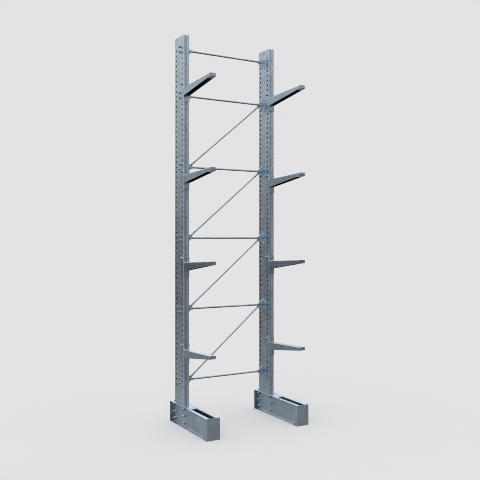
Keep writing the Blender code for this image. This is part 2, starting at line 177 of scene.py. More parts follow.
# --- outlines ---------------------------------------------------------------------------
def rounded(corners, steps=5):
    """Closed outline of (a, b, radius) corners, each turned into an arc of its radius."""
    outline = []
    for index, (a, b, radius) in enumerate(corners):
        here = Vector((a, b))
        if not radius:
            outline.append((a, b))
            continue
        back = (Vector(corners[index - 1][:2]) - here).normalized()
        ahead = (Vector(corners[(index + 1) % len(corners)][:2]) - here).normalized()
        half = back.angle(ahead) / 2
        centre = here + (back + ahead).normalized() * radius / math.sin(half)
        spoke = here + back * radius / math.tan(half) - centre
        turn = math.copysign(math.pi - 2 * half, back.cross(ahead))
        for step in range(steps + 1):
            point = centre + Matrix.Rotation(-turn * step / steps, 2) @ spoke
            outline.append(tuple(point))
    return outline


def sheet(path, thickness, bend, steps=5):
    """Outline of a sheet folded along a path, with its thickness to the right of it."""
    points = [Vector(p) for p in path]
    runs = [(b - a).normalized() for a, b in zip(points, points[1:])]
    rights = [Vector((run.y, -run.x)) for run in runs]
    near = [(*points[0], 0)]
    far = [(*(points[0] + rights[0] * thickness), 0)]
    for index in range(1, len(points) - 1):
        one, two = rights[index - 1], rights[index]
        mitre = (one + two) / (1 + one.dot(two)) * thickness
        inside = runs[index - 1].cross(runs[index]) > 0
        near.append((*points[index], bend if inside else bend + thickness))
        far.append((*(points[index] + mitre), bend + thickness if inside else bend))
    near.append((*points[-1], 0))
    far.append((*(points[-1] + rights[-1] * thickness), 0))
    return rounded(near + far[::-1], steps)


def circle(a, b, radius, sides=ROUND, shift=0.0):
    """Corners of a round outline. shift turns them by a share of a side."""
    angles = [2 * math.pi * (i + shift) / sides for i in range(sides)]
    return [(a + radius * math.cos(angle), b + radius * math.sin(angle)) for angle in angles]


def bar_outline(a0, a1, b0, b1, radius):
    return rounded([(a0, b0, radius), (a1, b0, radius), (a1, b1, radius), (a0, b1, radius)], 3)


# --- mesh tools -------------------------------------------------------------------------
def add_rings(bm, rings, closed=False):
    """Skin equal rings of points. The ends are capped, or joined when closed."""
    loops = [[bm.verts.new(p) for p in ring] for ring in rings]
    pairs = list(zip(loops, loops[1:]))
    if closed:
        pairs.append((loops[-1], loops[0]))
    for one, two in pairs:
        for i in range(len(one)):
            j = (i + 1) % len(one)
            bm.faces.new((one[i], one[j], two[j], two[i]))
    if not closed:
        bm.faces.new(loops[0])
        bm.faces.new(loops[-1])


def along(axis, place, a, b):
    """Point at a place along an axis; a and b are the other two axes in X, Y, Z order."""
    return {"X": (place, a, b), "Y": (a, place, b), "Z": (a, b, place)}[axis]


def add_prism(bm, outline, axis, low, high):
    add_rings(bm, [[along(axis, place, a, b) for a, b in outline] for place in (low, high)])


def add_turned(bm, axis, centre, steps, closed=False):
    """Turn a profile of (place along the axis, radius) about a centre line."""
    add_rings(bm, [[along(axis, place, a, b) for a, b in circle(*centre, radius)]
                   for place, radius in steps], closed)


def finished(bm, name, sharp_degrees=32):
    """Mesh with its faces pointing out, smooth except across sharp edges."""
    bmesh.ops.recalc_face_normals(bm, faces=bm.faces[:])
    mesh = bpy.data.meshes.new(name)
    bm.to_mesh(mesh)
    bm.free()
    mesh.shade_smooth()
    mesh.set_sharp_from_angle(angle=math.radians(sharp_degrees))
    return mesh


def carved(mesh, operation, build_tool):
    """The mesh cut by, or kept within, a tool that may be many separate solids."""
    bm = bmesh.new()
    build_tool(bm)
    body = bpy.data.objects.new("carved_body", mesh)
    tool = bpy.data.objects.new("carving_tool", finished(bm, "carving_tool"))
    for obj in (body, tool):
        bpy.context.scene.collection.objects.link(obj)
    modifier = body.modifiers.new("carve", "BOOLEAN")
    modifier.operation = operation
    modifier.solver = "MANIFOLD"
    modifier.object = tool
    bpy.context.view_layer.update()
    evaluated = body.evaluated_get(bpy.context.evaluated_depsgraph_get())
    result = bpy.data.meshes.new_from_object(evaluated)
    result.name = mesh.name
    for obj in (body, tool):
        bpy.data.objects.remove(obj)
    result.materials.clear()
    result.shade_smooth()
    result.set_sharp_from_angle(angle=math.radians(32))
    return result


def add_weld(bm, start, end, radius, ripple=0.0022):
    """Weld bead: a rippled bar of round section between two points."""
    start, end = Vector(start), Vector(end)
    run = end - start
    turn = run.to_track_quat("Z", "Y").to_matrix()
    count = max(6, round(run.length / (ripple / 3)))
    rings = []
    for step in range(count + 1):
        share = step / count
        taper = min(1.0, 0.35 + 8 * min(share, 1 - share))
        wave = 0.88 + 0.12 * math.sin(share * run.length / ripple * 2 * math.pi)
        drift = 0.06 * math.sin(17 * share + 40 * start.z)
        size = radius * taper * (wave + drift)
        rings.append([start + run * share + turn @ Vector((a, b, 0))
                      for a, b in circle(0, 0, size, 8)])
    add_rings(bm, rings)


# --- finishes ---------------------------------------------------------------------------
PAINTED_SHADE_BLUE = (0.012, 0.024, 0.042)       # painted shade: dark blue painted on metal in holes, slots and hollows, where no light reaches


class Graph:
    """Short way to write a node tree: node(type, inputs) links sockets and sets values."""

    def __init__(self, tree):
        self.tree = tree
        tree.nodes.clear()

    def node(self, kind, inputs=None, **settings):
        made = self.tree.nodes.new("ShaderNode" + kind)
        for name, value in settings.items():
            setattr(made, name, value)
        for name, value in (inputs or {}).items():
            if isinstance(value, bpy.types.NodeSocket):
                self.tree.links.new(value, made.inputs[name])
            else:
                made.inputs[name].default_value = value
        return made

    def math(self, operation, one, two=0.0):
        return self.node("Math", {0: one, 1: two}, operation=operation).outputs[0]

    def vector(self, operation, one, two=(0, 0, 0)):
        return self.node("VectorMath", {0: one, 1: two}, operation=operation).outputs[0]

    def spread(self, value, low, high, start=0.0, end=1.0):
        """value, from start..end, mapped to low..high and held there."""
        made = self.node("MapRange", {"Value": value, "From Min": start, "From Max": end,
                                      "To Min": low, "To Max": high})
        return made.outputs["Result"]

    def noise(self, coords, scale, detail=3.0, roughness=0.55):
        made = self.node("TexNoise", {"Vector": coords, "Scale": scale, "Detail": detail,
                                      "Roughness": roughness})
        return made.outputs["Fac"]

    def tinted(self, colour, factor):
        """colour times a grey factor."""
        grey = self.node("CombineColor", {0: factor, 1: factor, 2: factor}).outputs[0]
        return self.mixed(1.0, colour, grey, "MULTIPLY")

    def mixed(self, factor, one, two, blend="MIX"):
        made = self.node("Mix", {0: factor, 6: one, 7: two}, data_type="RGBA", blend_type=blend)
        return made.outputs[2]


def own_coords(graph):
    """Object coordinates, shifted by piece so that no two copies wear alike."""
    place = graph.node("TexCoord").outputs["Object"]
    number = graph.node("ObjectInfo").outputs["Random"]
    shift = graph.node("CombineXYZ", {0: graph.math("MULTIPLY", number, 7.0),
                                      1: graph.math("MULTIPLY", number, 3.0), 2: number})
    return graph.vector("ADD", place, shift.outputs[0])


def with_painted_shade(graph, base, reach=0.35):
    """base in the open, with a painted shade falling to dark blue in holes, slots and hollow
    sections.
    """
    open_sky = graph.node("AmbientOcclusion", {"Distance": reach}, samples=6).outputs["AO"]
    return graph.mixed(graph.spread(open_sky, 0.0, 1.0, 0.10, 0.40), (*PAINTED_SHADE_BLUE, 1), base)


def new_material(name):
    material = bpy.data.materials.new(name)
    material.use_nodes = True
    return material, Graph(material.node_tree)


def edge_wear_and_highlight(graph, radius):
    """Rounded shading normal, and a mask that is 1 where an edge turns it away; the
    mask pales edges, part rubbed zinc and part painted highlight.
    """
    soft = graph.node("Bevel", {"Radius": radius}, samples=4).outputs[0]
    hard = graph.node("NewGeometry").outputs["Normal"]
    facing = graph.node("VectorMath", {0: soft, 1: hard}, operation="DOT_PRODUCT").outputs["Value"]
    return soft, graph.spread(facing, 1.0, 0.0, 0.80, 0.995)


def galvanised(name, colour, spangle, roughness, grain, tilt=0.05):
    """Hot-dip zinc: crystals that each catch the light their own way, drifting tone,
    run marks along the grain, paler edges that are part rubbed zinc and part painted
    highlight, a few specks of white oxide, and painted shade in holes and hollows."""
    material, graph = new_material(name)
    coords = own_coords(graph)
    warp = graph.node("TexNoise", {"Vector": coords, "Scale": 55.0}).outputs["Color"]
    warp = graph.node("VectorMath", {0: warp, 3: spangle * 0.7}, operation="SCALE").outputs[0]
    crystal = graph.node("TexVoronoi", {"Vector": graph.vector("ADD", coords, warp),
                                        "Scale": 1 / spangle})
    cell = crystal.outputs["Color"]
    parts = graph.node("SeparateColor", {0: cell}).outputs

    soft, edge = edge_wear_and_highlight(graph, 0.0012)
    lean = graph.vector("SUBTRACT", cell, (0.5, 0.5, 0.5))
    lean = graph.node("VectorMath", {0: lean, 3: tilt}, operation="SCALE").outputs[0]
    normal = graph.vector("NORMALIZE", graph.vector("ADD", soft, lean))

    stretched = graph.vector("MULTIPLY", coords, grain)
    runs = graph.noise(stretched, 1.0, 4.0)
    patches = graph.noise(coords, 7.0, 4.0)
    specks = graph.spread(graph.noise(coords, 160.0, 2.0), 0.0, 1.0, 0.70, 0.76)

    tone = graph.spread(parts[0], 0.90, 1.08)
    tone = graph.math("MULTIPLY", tone, graph.spread(patches, 0.88, 1.10, 0.3, 0.7))
    tone = graph.math("MULTIPLY", tone, graph.spread(runs, 0.93, 1.05, 0.3, 0.7))
    base = graph.tinted((*colour, 1), tone)
    # paler edges: part rubbed zinc, part painted highlight
    base = graph.mixed(graph.math("MULTIPLY", edge, 0.20), base, (0.74, 0.77, 0.80, 1))
    base = graph.mixed(graph.math("MULTIPLY", specks, 0.5), base, (0.78, 0.80, 0.81, 1))
    # painted shade: the colour falls to dark blue in holes, slots and hollows
    base = with_painted_shade(graph, base)

    dull = graph.spread(parts[1], roughness - 0.05, roughness + 0.07)
    dull = graph.math("ADD", dull, graph.spread(runs, -0.04, 0.06, 0.3, 0.7))
    dull = graph.math("ADD", dull, graph.math("MULTIPLY", specks, 0.2))
    dull = graph.math("SUBTRACT", dull, graph.math("MULTIPLY", edge, 0.06))

    relief = graph.math("ADD", graph.noise(coords, 420.0, 2.0), graph.math("MULTIPLY", specks, 0.6))
    bump = graph.node("Bump", {"Height": relief, "Strength": 0.12, "Distance": 0.0006,
                               "Normal": normal}).outputs[0]
    shader = graph.node("BsdfPrincipled", {"Base Color": base, "Metallic": 1.0,
                                           "Roughness": dull, "Normal": bump})
    graph.node("OutputMaterial", {"Surface": shader.outputs[0]})
    return material


def zinc_plated(name, colour, roughness):
    """Bright zinc plate on turned and forged steel: turning marks, a faint yellow-blue
    passivation drift, rubbed corners that also carry a painted highlight, and painted
    shade in hollows."""
    material, graph = new_material(name)
    coords = own_coords(graph)
    soft, edge = edge_wear_and_highlight(graph, 0.0006)
    film = graph.noise(coords, 60.0, 3.0)
    base = graph.mixed(graph.spread(film, 0.0, 1.0, 0.35, 0.65), (*colour, 1),
                       (colour[0] * 1.04, colour[1], colour[2] * 0.94, 1))
    # paler corners: part rubbed zinc, part painted highlight
    base = graph.mixed(graph.math("MULTIPLY", edge, 0.4), base, (0.70, 0.76, 0.82, 1))
    # painted shade: the colour falls to dark blue in close hollows
    base = with_painted_shade(graph, base, 0.05)
    marks = graph.noise(graph.vector("MULTIPLY", coords, (900.0, 60.0, 60.0)), 1.0, 2.0)
    dull = graph.spread(marks, roughness - 0.05, roughness + 0.10, 0.3, 0.7)
    bump = graph.node("Bump", {"Height": marks, "Strength": 0.10, "Distance": 0.0003,
                               "Normal": soft}).outputs[0]
    shader = graph.node("BsdfPrincipled", {"Base Color": base, "Metallic": 1.0,
                                           "Roughness": dull, "Normal": bump})
    graph.node("OutputMaterial", {"Surface": shader.outputs[0]})
    return material


def weld_metal(name, colour):
    """Weld bead under zinc: dull, lumpy and a little darker than the sheet."""
    material, graph = new_material(name)
    coords = own_coords(graph)
    lumps = graph.noise(coords, 300.0, 3.0)
    base = graph.tinted((*colour, 1), graph.spread(lumps, 0.75, 1.10, 0.3, 0.7))
    # painted shade: the colour falls to dark blue where the bead lies in corners and hollows
    base = with_painted_shade(graph, base)
    bump = graph.node("Bump", {"Height": lumps, "Strength": 0.4, "Distance": 0.0008}).outputs[0]
    shader = graph.node("BsdfPrincipled", {"Base Color": base, "Metallic": 1.0,
                                           "Roughness": graph.spread(lumps, 0.42, 0.62),
                                           "Normal": bump})
    graph.node("OutputMaterial", {"Surface": shader.outputs[0]})
    return material


UP_GRAIN = (70.0, 70.0, 3.0)         # run marks along Z
ARM_GRAIN = (70.0, 3.0, 70.0)        # along Y
TUBE_GRAIN = (3.0, 90.0, 90.0)       # along X
ZINC = (0.45, 0.53, 0.61)
FINISHES = {
    "post": galvanised("galvanised_post", ZINC, 0.011, 0.34, UP_GRAIN),
    "base": galvanised("galvanised_base", ZINC, 0.012, 0.36, ARM_GRAIN),
    "arm": galvanised("galvanised_arm", (0.41, 0.49, 0.57), 0.010, 0.28, ARM_GRAIN),
    "bracket": galvanised("galvanised_bracket", (0.54, 0.64, 0.74), 0.008, 0.36, UP_GRAIN, 0.03),
    "tube": galvanised("galvanised_tube", (0.37, 0.44, 0.51), 0.006, 0.50, TUBE_GRAIN, 0.03),
    "rod": galvanised("galvanised_rod", (0.32, 0.38, 0.44), 0.006, 0.50, TUBE_GRAIN, 0.03),
    "bolt": zinc_plated("zinc_plate", (0.36, 0.47, 0.60), 0.28),
    "weld": weld_metal("zinc_weld", (0.27, 0.32, 0.37)),
}


def place(name, mesh, finish, body="frame", at=(0, 0, 0), lean=0.0, stands_for=()):
    """Put a piece in the scene, on its body. lean turns it about Y."""
    obj = bpy.data.objects.new(name, mesh)
    bpy.context.scene.collection.objects.link(obj)
    obj.location = at
    obj.rotation_euler = (0, lean, 0)
    if not mesh.materials:
        mesh.materials.append(FINISHES[finish])
    even = obj.modifiers.new("even_shading", "WEIGHTED_NORMAL")
    even.keep_sharp = True
    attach(obj, body)
    if stands_for:
        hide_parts(*stands_for)
    return obj


# --- fasteners --------------------------------------------------------------------------
def hexagon_ring(radius):
    """Points around a hexagon, four to a side, with how far each is from the centre."""
    flat = radius * math.cos(math.pi / 6)
    ring = []
    for i in range(ROUND):
        angle = 2 * math.pi * i / ROUND
        reach = flat / math.cos((angle + math.pi / 6) % (math.pi / 3) - math.pi / 6)
        ring.append((angle, reach))
    return ring


def hexagon_rings(radius, low, high, both_ends):
    """Hexagon along X from low to high, its corners turned down at 30 degrees."""
    flat = radius * math.cos(math.pi / 6) * HEX_FACE
    slope = math.tan(math.radians(30))
    sides = hexagon_ring(radius)
    rounds = [(flat * math.cos(angle), flat * math.sin(angle)) for angle, _ in sides]

    def corner_ring(face, inward, turned):
        return [(face + inward * (reach - flat) * slope * turned,
                 reach * math.cos(angle), reach * math.sin(angle)) for angle, reach in sides]

    return [[(low, a, b) for a, b in rounds], corner_ring(low, 1, both_ends),
            corner_ring(high, -1, 1), [(high, a, b) for a, b in rounds]]


def thread_rings(radius, start, end):
    """Helical thread along X from start to end, the last turn chamfered."""
    count = math.ceil(abs(end - start) / (THREAD_PITCH / THREAD_STEPS))
    rings = []
    for step in range(count + 1):
        x = start + (end - start) * step / count
        left = abs(end - x)
        limit = radius - THREAD_DEPTH if left < 1e-6 else radius
        ring = []
        for i in range(ROUND):
            phase = (x / THREAD_PITCH + i / ROUND) % 1.0
            groove = THREAD_DEPTH * (1 - abs(2 * phase - 1))
            size = min(limit, radius - groove)
            angle = 2 * math.pi * i / ROUND
            ring.append((x, size * math.cos(angle), size * math.sin(angle)))
        rings.append(ring)
    return rings


def bolt_mesh(name, size, grip, thread, domed):
    """Bolt along X about its grip's middle: a hex or low domed head at +X, thread out of
    a nut at -X."""
    half = grip / 2 + (0 if domed else size["washer"])
    radius = size["radius"]

    def ring(x, r):
        return [(x, a, b) for a, b in circle(0, 0, r)]

    nut_face = grip / 2 + size["washer"]
    neck = -nut_face - size["nut"] + THREAD_PITCH
    end = -nut_face - size["nut"] - thread
    rings = thread_rings(radius, neck, end)[::-1]
    rings += [ring(neck + 0.0002, radius), ring(half, radius)]
    if domed:
        rings += [ring(half + size["dome"] * up, size["hex"] * wide)
                  for up, wide in DOME]
    else:
        rings += hexagon_rings(size["hex"], half, half + size["head"], 0)
    bm = bmesh.new()
    add_rings(bm, rings)
    return finished(bm, name)


def nut_mesh(name, size, face):
    """Hex nut whose inner face is at face, on the -X side."""
    bore = size["radius"] + GAP
    outer = face - size["nut"]
    rings = hexagon_rings(size["hex"], outer, face, 1)
    inner = [[(x, a, b) for a, b in circle(0, 0, bore)] for x in (face, outer)]
    bm = bmesh.new()
    add_rings(bm, rings + inner, closed=True)
    return finished(bm, name)


def washer_mesh(name, size, low):
    """Plain washer from low to low + its thickness, along X."""
    outer = size["hex"] * WASHER_WIDTH
    inner = size["radius"] + 2 * GAP
    high = low + size["washer"]
    edge = 0.0004
    bm = bmesh.new()
    add_turned(bm, "X", (0, 0), [(low, inner), (low, outer - edge), (low + edge, outer),
                                 (high - edge, outer), (high, outer - edge), (high, inner)],
               closed=True)
    return finished(bm, name)


def fastener_meshes(name, size, grip, thread, domed=False):
    """Bolt, nut and washers. A domed head beds straight on the sheet."""
    half = grip / 2
    parts = {"bolt": bolt_mesh(f"{name}_bolt", size, grip, thread, domed),
             "nut": nut_mesh(f"{name}_nut", size, -half - size["washer"]),
             "nut_washer": washer_mesh(f"{name}_nut_washer", size, -half - size["washer"])}
    if not domed:
        parts["head_washer"] = washer_mesh(f"{name}_head_washer", size, half)
    return parts


def place_fastener(name, meshes, at, turn=None, spin=0.0, stands_for=()):
    """Bolt, nut and washers at a place. turn is the direction of the bolt's head, and
    spin is how far the nut happens to be turned."""
    for part, mesh in meshes.items():
        obj = place(f"{name}_{part}", mesh, "bolt", at=at,
                    stands_for=stands_for if part == "bolt" else ())
        facing = Vector(turn or (1, 0, 0)).to_track_quat("X", "Z")
        spun = Matrix.Rotation(spin if part == "nut" else -spin, 4, "X")
        obj.rotation_euler = (facing.to_matrix().to_4x4() @ spun).to_euler()


# --- uprights ---------------------------------------------------------------------------
def add_punched_hole(bm, y, z, radius):
    """Round hole along X through both sides of an upright, its rims drawn in."""
    half = POST_WIDTH / 2
    proud = 0.001
    wide = radius + PUNCHED_EDGE + proud
    add_turned(bm, "X", (y, z), [(-half - proud, wide), (-half + PUNCHED_EDGE, radius),
                                 (half - PUNCHED_EDGE, radius), (half + proud, wide)])


def perforation_rows():
    return [FIRST_ROW + PITCH * i for i in range(round((LAST_ROW - FIRST_ROW) / PITCH) + 1)]


def post_mesh(side):
    """Rolled open section with a shallow bead down its front, punched on both sides.
    side is the direction of the bay, where the brackets' relief holes go on through."""
    half, mouth, bottom = POST_WIDTH / 2, BEAD_MOUTH / 2, BEAD_BOTTOM / 2
    right = [(half - LIP, REAR_Y), (half, REAR_Y), (half, FRONT_Y), (mouth, FRONT_Y),
             (bottom, FRONT_Y + BEAD_DEPTH)]
    path = right + [(-x, y) for x, y in reversed(right)]
    bm = bmesh.new()
    add_prism(bm, sheet(path, POST_SHEET, POST_BEND), "Z", POST_FOOT, POST_TOP)

    def holes(tool):
        for z in perforation_rows():
            add_punched_hole(tool, PIVOT_Y, z, HOLE_RADIUS)
            add_punched_hole(tool, REAR_BOLT_Y, z, HOLE_RADIUS)
            add_punched_hole(tool, MID_Y, z - PITCH / 2, SMALL_HOLE_RADIUS)
            add_turned(tool, "Y", (0, z), [(FRONT_Y - PAST, BEAD_HOLE_RADIUS),
                                           (FRONT_Y + 2 * BEAD_DEPTH, BEAD_HOLE_RADIUS)])
        for z in BASE_BOLT_ROWS:
            add_punched_hole(tool, REAR_BOLT_Y, z, BOLT_HOLE_RADIUS)
        start, end, tall = RELIEF
        for level in LEVELS:
            for step in (-STUD_HALF_PITCH, STUD_HALF_PITCH):
                add_punched_hole(tool, MID_Y - STUD_BEHIND, level + step, STUD_HOLE_RADIUS)
            slot = bar_outline(MID_Y + start, MID_Y + end, level - tall, level + tall,
                               RELIEF_CORNER)
            add_prism(tool, slot, "X", *sorted((side * (half - PAST), side * (half + PAST))))

    return carved(finished(bm, "post"), "DIFFERENCE", holes)


def foot_box_mesh():
    """Folded box between the base channels, open towards the upright."""
    half = POST_WIDTH / 2
    rear = FRONT_Y - GAP
    path = [(half, rear), (half, FOOT_BOX_Y), (-half, FOOT_BOX_Y), (-half, rear)]
    bm = bmesh.new()
    top = FOOT_BOX_TOP - FOOT_BOX_SHEET
    add_prism(bm, sheet(path, FOOT_BOX_SHEET, PLATE_BEND), "Z", POST_FOOT, top)

    def holes(tool):
        for z in BASE_BOLT_ROWS:
            add_punched_hole(tool, FRONT_BOLT_Y, z, BOLT_HOLE_RADIUS)

    return carved(finished(bm, "foot_box"), "DIFFERENCE", holes)


def foot_lid_mesh():
    half = POST_WIDTH / 2
    bm = bmesh.new()
    outline = bar_outline(-half, half, FOOT_BOX_Y, FRONT_Y - GAP, LID_CORNER)
    add_prism(bm, outline, "Z", FOOT_BOX_TOP - FOOT_BOX_SHEET + GAP / 2, FOOT_BOX_TOP)
    return finished(bm, "foot_lid")


def foot_weld_mesh():
    """Bead where the foot box's lid meets the upright's front."""
    half = POST_WIDTH / 2 - POST_BEND
    y = FRONT_Y - WELD_BITE
    bm = bmesh.new()
    for side in (-1, 1):
        add_weld(bm, (side * half, y, FOOT_BOX_TOP),
                 (side * (BEAD_MOUTH / 2 + POST_SHEET), y, FOOT_BOX_TOP), FOOT_WELD)
    return finished(bm, "foot_weld", 60)


def build_uprights():
    box, lid, weld = foot_box_mesh(), foot_lid_mesh(), foot_weld_mesh()
    for name, side in SIDES:
        at = (side * POST_X, 0, 0)
        place(f"{name}_post", post_mesh(-side), "post", at=at, stands_for=[f"{name}_upright"])
        place(f"{name}_foot_box", box, "base", at=at)
        place(f"{name}_foot_lid", lid, "base", at=at)
        place(f"{name}_foot_weld", weld, "weld", at=at)


# --- bases ------------------------------------------------------------------------------
def channel_mesh(side):
    """Folded channel, web against the upright, its toes a little rounded."""
    low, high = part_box("left_base_left_channel")
    web_in = POST_WIDTH / 2 + GAP
    toe = web_in + (high.x - low.x)
    web_out = web_in + WEB
    bend_out, bend_in = CHANNEL_BEND
    toe_out, toe_in = TOE
    corners = [(web_in, low.z, bend_out), (toe, low.z, toe_out), (toe, low.z + FLANGE, toe_in),
               (web_out, low.z + FLANGE, bend_in), (web_out, high.z - FLANGE, bend_in),
               (toe, high.z - FLANGE, toe_in), (toe, high.z, toe_out), (web_in, high.z, bend_out)]
    bm = bmesh.new()
    add_prism(bm, [(side * x, z) for x, z in rounded(corners)], "Y", low.y, high.y)

    def holes(tool):
        ends = sorted((side * (web_in - PAST), side * (web_out + PAST)))
        for y in (FRONT_BOLT_Y, REAR_BOLT_Y):
            for z in BASE_BOLT_ROWS:
                add_turned(tool, "X", (y, z), [(x, BOLT_HOLE_RADIUS) for x in ends])
        rear_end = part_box("left_base_rear_plate")[1].y
        anchor = (side * ((web_in + toe) / 2 + WEB), rear_end - ANCHOR_FROM_END)
        add_turned(tool, "Z", anchor, [(-FLANGE, ANCHOR_RADIUS), (2 * FLANGE, ANCHOR_RADIUS)])

    return carved(finished(bm, "channel"), "DIFFERENCE", holes)


def front_cap_mesh():
    """Cap folded round the front end, a little way back along both sides."""
    low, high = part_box("left_base_front_cap")
    half = (high.x - low.x) / 2
    path = [(half, high.y), (half, low.y), (-half, low.y), (-half, high.y)]
    bm = bmesh.new()
    add_prism(bm, sheet(path, CAP_SHEET, PLATE_BEND), "Z", low.z, high.z)
    return finished(bm, "front_cap")


def rear_plate_mesh():
    low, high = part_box("left_base_rear_plate")
    half = (high.x - low.x) / 2
    bm = bmesh.new()
    add_prism(bm, bar_outline(-half, half, low.z, high.z, END_PLATE_CORNER), "Y", low.y, high.y)
    return finished(bm, "rear_plate")


def base_weld_mesh():
    """Beads between the channels and the plates that close their ends."""
    plate_low, plate_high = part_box("left_base_rear_plate")
    cap_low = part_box("left_base_front_cap")[0]
    web = POST_WIDTH / 2 + WEB + WELD_BITE
    low, high = WELD_CLEAR, plate_high.z - WELD_CLEAR
    start, end = (web + place for place in FLANGE_WELD_SPAN)
    on_flange = FLANGE + WELD_BITE / 2
    bm = bmesh.new()
    for y in (plate_low.y - WELD_BITE, cap_low.y + CAP_SHEET + WELD_BITE):
        for side in (-1, 1):
            add_weld(bm, (side * web, y, low), (side * web, y, high), END_WELD)
            add_weld(bm, (side * start, y, on_flange), (side * end, y, on_flange), FLANGE_WELD)
    return finished(bm, "base_weld", 60)


def build_bases():
    channels = {edge: channel_mesh(side) for edge, side in SIDES}
    cap, plate, weld = front_cap_mesh(), rear_plate_mesh(), base_weld_mesh()
    grip = POST_WIDTH + 2 * (GAP + WEB)
    fastener = fastener_meshes("base", M14, grip, BASE_THREAD_OUT)
    for name, side in SIDES:
        at = (side * POST_X, 0, 0)
        for edge, mesh in channels.items():
            node = f"{name}_base_{edge}_channel"
            place(f"{node}_bar", mesh, "base", at=at, stands_for=[node])
        place(f"{name}_base_cap", cap, "base", at=at, stands_for=[f"{name}_base_front_cap"])
        place(f"{name}_base_end", plate, "base", at=at, stands_for=[f"{name}_base_rear_plate"])
        place(f"{name}_base_weld", weld, "weld", at=at)
        for column in ("front", "rear"):
            for number in (1, 2, 3):
                node = f"{name}_base_{column}_bolt_{number}"
                where = middle_of(node)
                where.x = side * POST_X
                spin = math.radians(17 * number + (8 if column == "front" else 0))
                place_fastener(f"{name}_base_{column}_{number}", fastener, where,
                               spin=spin, stands_for=[node])


# --- bracing ----------------------------------------------------------------------------
def bracket_mesh(side):
    """Folded brace bracket on the upright's inner face: a flange and a tapered ear, with
    a relief hole at the fold. Its origin is on that face, at the ear's front side."""
    path = [(GAP, EAR_SHEET - BRACKET_FLANGE), (GAP, EAR_SHEET), (EAR_REACH, EAR_SHEET)]
    fold = sheet(path, EAR_SHEET, PLATE_BEND)
    bm = bmesh.new()
    add_prism(bm, [(side * x, y) for x, y in fold], "Z", -EAR_HALF, EAR_HALF)
    corner, nose = 0.004, 0.010
    outline = rounded([(-PAST, -EAR_HALF, 0), (EAR_SHOULDER, -EAR_HALF, corner),
                       (EAR_REACH, -EAR_TIP_HALF, nose), (EAR_REACH, EAR_TIP_HALF, nose),
                       (EAR_SHOULDER, EAR_HALF, corner), (-PAST, EAR_HALF, 0)])

    def taper(tool):
        add_prism(tool, [(side * x, z) for x, z in outline], "Y", -BRACKET_FLANGE - PAST, PAST)

    def holes(tool):
        through = (-PAST, EAR_SHEET + PAST)
        add_turned(tool, "Y", (side * PIN_OUT, 0), [(y, STUD_HOLE_RADIUS) for y in through])
        start, end, tall = RELIEF
        relief = bar_outline(start, end, -tall, tall, RELIEF_CORNER)
        add_prism(tool, relief, "X", *sorted((-side * PAST, side * RELIEF_REACH)))
        for z in (-STUD_HALF_PITCH, STUD_HALF_PITCH):
            ends = sorted(side * x for x in through)
            add_turned(tool, "X", (-STUD_BEHIND, z), [(x, STUD_HOLE_RADIUS) for x in ends])

    mesh = carved(finished(bm, "bracket"), "INTERSECT", taper)
    return carved(mesh, "DIFFERENCE", holes)


def flat_to_round(profile):
    """Rings along X for a bar that goes from a flat tab to round. profile lists
    (x, half thickness, half width, how square from 0 to 1)."""
    squarest = 0.28                  # power of cosine and sine that makes the flattest side
    rings = []
    for x, thick, wide, square in profile:
        power = 1 - (1 - squarest) * square
        ring = []
        for i in range(ROUND):
            c, s = math.cos(2 * math.pi * i / ROUND), math.sin(2 * math.pi * i / ROUND)
            ring.append((x, thick * math.copysign(abs(c) ** power, c),
                         wide * math.copysign(abs(s) ** power, s)))
        rings.append(ring)
    return rings


def tab_profile(flat_end, round_start, radius):
    """Rounded tab about a pin at 0, flat to flat_end, then swelling to a round bar."""
    thick, wide = TAB_THICK / 2, TAB_HALF
    profile = []
    for degrees in (172, 160, 145, 130, 115, 100, 90):
        angle = math.radians(degrees)
        profile.append((wide * math.cos(angle), thick, wide * math.sin(angle), 1))
    profile.append((flat_end, thick, wide, 1))
    for step in range(1, 9):
        share = step / 8
        ease = share * share * (3 - 2 * share)
        profile.append((flat_end + (round_start - flat_end) * share,
                        thick + (radius - thick) * ease, wide + (radius - wide) * ease, 1 - ease))
    return profile


def with_pin_holes(bm, name, places):
    def holes(tool):
        for x in places:
            rim = circle(x, 0, STUD_HOLE_RADIUS, shift=0.5)      # clear of the tab's own edges
            add_prism(tool, rim, "Y", -PAST, PAST)

    return carved(finished(bm, name), "DIFFERENCE", holes)


def tube_brace_mesh(half_span):
    """Round tube with both ends pressed flat."""
    profile = tab_profile(*TUBE_TAB, TUBE_RADIUS)
    rings = flat_to_round([(x - half_span, *rest) for x, *rest in profile])
    mirrored = [[(-x, y, z) for x, y, z in ring] for ring in reversed(rings)]
    bm = bmesh.new()
    add_rings(bm, rings + mirrored)
    return with_pin_holes(bm, "tube_brace", (-half_span, half_span))


def rod_brace_meshes(half_span):
    """Thin rod, and the pressed sleeve that holds it at either end."""
    rod_end = half_span - SLEEVE_END + ROD_IN_SLEEVE
    rod = bmesh.new()
    add_turned(rod, "X", (0, 0), [(-rod_end, ROD_RADIUS), (rod_end, ROD_RADIUS)])

    profile = tab_profile(*SLEEVE_TAB, TUBE_RADIUS)
    for start in CRIMPS:
        for step, less in ((0, 0), (0.003, CRIMP_DEPTH), (0.007, CRIMP_DEPTH), (0.010, 0)):
            profile.append((start + step, TUBE_RADIUS - less, TUBE_RADIUS - less, 0))
    edge = 0.001
    profile.append((SLEEVE_END - edge, TUBE_RADIUS, TUBE_RADIUS, 0))
    rings = flat_to_round(profile)
    bore = ROD_RADIUS + 0.0001
    mouth = ((SLEEVE_END, TUBE_RADIUS - edge), (SLEEVE_END, bore), (SLEEVE_END - 0.008, bore))
    rings += [[(x, a, b) for a, b in circle(0, 0, radius)] for x, radius in mouth]
    sleeve = bmesh.new()
    add_rings(sleeve, rings)
    return finished(rod, "brace_rod"), with_pin_holes(sleeve, "brace_sleeve", (0,))


